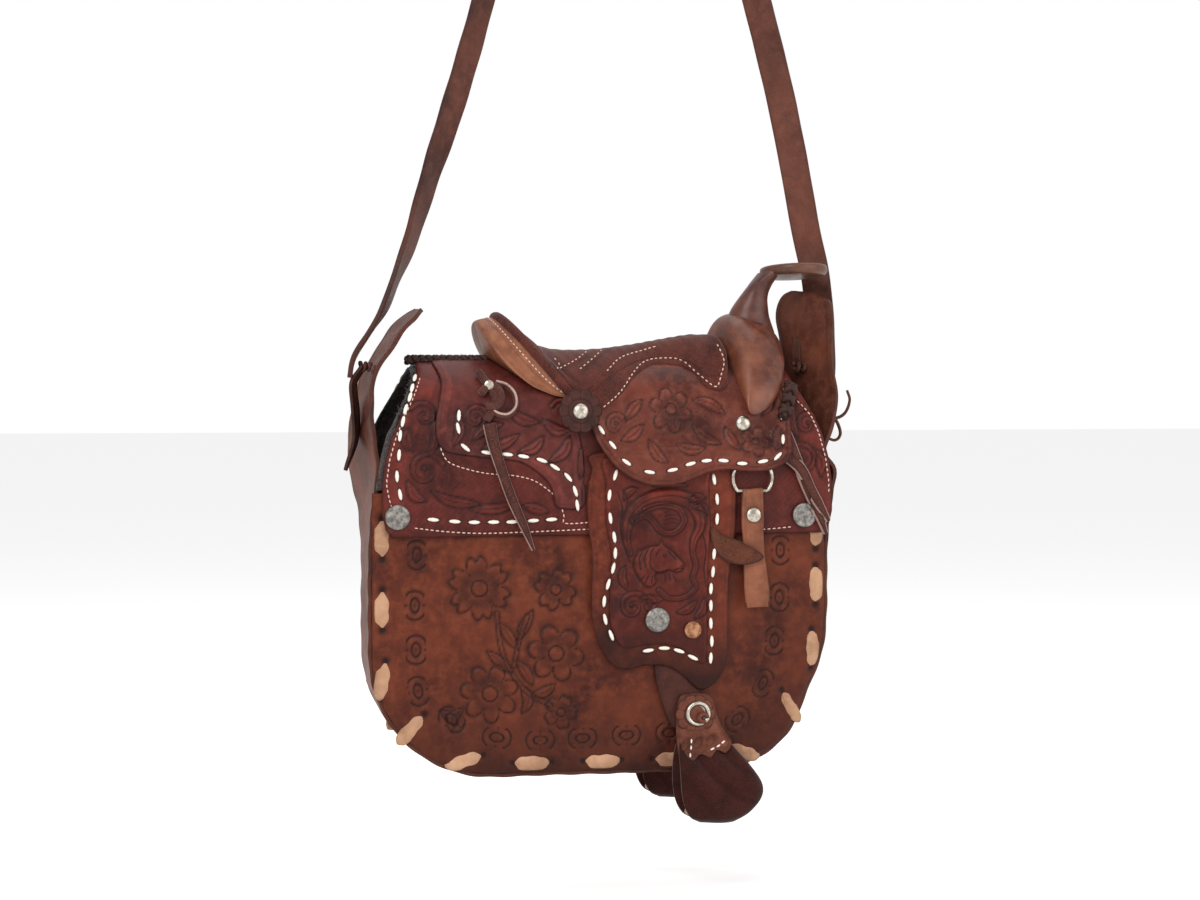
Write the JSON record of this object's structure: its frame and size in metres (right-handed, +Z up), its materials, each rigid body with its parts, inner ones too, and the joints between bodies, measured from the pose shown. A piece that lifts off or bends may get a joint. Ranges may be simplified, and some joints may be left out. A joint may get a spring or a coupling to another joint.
{
  "type": "saddle handbag",
  "caption": "Shoulder bag shaped like a western saddle: tooled bag body, lifting skirt flap, seat, cantle, horn, fenders with hooded stirrups, and a long shoulder strap.",
  "frame": {"origin": "top of the shoulder strap, where it lies over a hook or a shoulder", "axes": "+X along the bag towards the horn, +Y towards the back panel, +Z up"},
  "size_m": [0.3183, 0.1324, 0.6706],
  "materials": {
    "body_leather": "tooled vegetable-tanned leather, satin",
    "gusset_leather": "smooth leather, satin",
    "skirt_leather": "oxblood tooled leather, satin",
    "overlay_leather": "oxblood tooled leather, satin",
    "jockey_leather": "tooled leather, satin",
    "fender_leather": "orange-brown leather, satin",
    "fender_overlay_leather": "tooled leather, satin",
    "cantle_leather": "tooled tan leather, satin",
    "seat_suede": "suede, matte",
    "swell_leather": "smooth stretched leather, semi-gloss",
    "horn_leather": "smooth leather, satin",
    "strap_leather": "smooth leather, satin",
    "string_leather": "thin latigo leather, matte",
    "lace": "flat pale lace, matte",
    "hood_leather": "smooth leather, satin",
    "rosette_leather": "scalloped leather, satin",
    "fleece": "short matted fleece",
    "lining": "thin suede lining, matte",
    "nickel": "nickel plate, worn polish",
    "dark_nickel": "tarnished nickel",
    "wood": "plain wood"
  },
  "bodies": {
    "strap": {"shoulder_strap": "strap_leather", "strap_thongs": "strap_leather"},
    "bag": {"front_panel": "body_leather", "back_panel": "body_leather", "gusset": "gusset_leather", "lining": "lining", "front_edge_lace": "lace", "back_edge_lace": "lace", "snap_studs": "dark_nickel", "fleece": "fleece", "skirt_saddle": "skirt_leather", "overlay_rear": "overlay_leather", "saddle_tree": "wood", "seat": "seat_suede", "cantle": "cantle_leather", "cantle_binding": "swell_leather", "swell": "swell_leather", "horn": "horn_leather", "horn_cap": "horn_leather", "jockey_saddle": "jockey_leather", "rosettes": "skirt_leather", "rosette_conchos": "nickel", "jockey_rivets": "nickel", "saddle_knots": "string_leather", "string_knot": "string_leather", "fender_hanger_rear": "fender_leather"},
    "flap": {"skirt_flap": "skirt_leather", "overlay_flap": "overlay_leather", "jockey_flap": "jockey_leather", "snap_caps": "dark_nickel", "fender_hangers_flap": "fender_leather", "cinch_ring": "nickel", "flap_string": "string_leather"},
    "fender_front": {"fender_front": "fender_leather", "fender_overlay_front": "fender_overlay_leather", "fender_studs_front": "nickel", "latigo_front": "horn_leather", "latigo_rivet_front": "nickel", "stirrup_leather_front": "strap_leather"},
    "stirrup_front": {"stirrup_hood_front": "hood_leather", "stirrup_tread_front": "wood", "stirrup_rosette_front": "rosette_leather", "stirrup_concho_front": "nickel"},
    "fender_rear": {"fender_rear": "fender_leather", "fender_overlay_rear": "fender_overlay_leather", "fender_studs_rear": "nickel", "stirrup_leather_rear": "strap_leather"},
    "stirrup_rear": {"stirrup_hood_rear": "hood_leather", "stirrup_tread_rear": "wood", "stirrup_rosette_rear": "rosette_leather", "stirrup_concho_rear": "nickel"}
  },
  "joints": [
    {"name": "bag_swing", "type": "hinge", "parent": "strap", "child": "bag", "pos_m": [0, 0, -0.397], "axis": [1, 0, 0], "range_deg": [0, 50]},
    {"name": "flap_lift", "type": "hinge", "parent": "bag", "child": "flap", "pos_m": [0, -0.0442, -0.437], "axis": [-1, 0, 0], "range_deg": [0, 70]},
    {"name": "fender_front_swing", "type": "hinge", "parent": "flap", "child": "fender_front", "pos_m": [0, -0.046, -0.472], "axis": [-1, 0, 0], "range_deg": [0, 70]},
    {"name": "stirrup_front_swing", "type": "hinge", "parent": "fender_front", "child": "stirrup_front", "pos_m": [0, -0.0438, -0.594], "axis": [-1, 0, 0], "range_deg": [0, 60]},
    {"name": "fender_rear_swing", "type": "hinge", "parent": "bag", "child": "fender_rear", "pos_m": [0, 0.046, -0.472], "axis": [1, 0, 0], "range_deg": [0, 70]},
    {"name": "stirrup_rear_swing", "type": "hinge", "parent": "fender_rear", "child": "stirrup_rear", "pos_m": [0, 0.0438, -0.594], "axis": [1, 0, 0], "range_deg": [0, 60]}
  ]
}
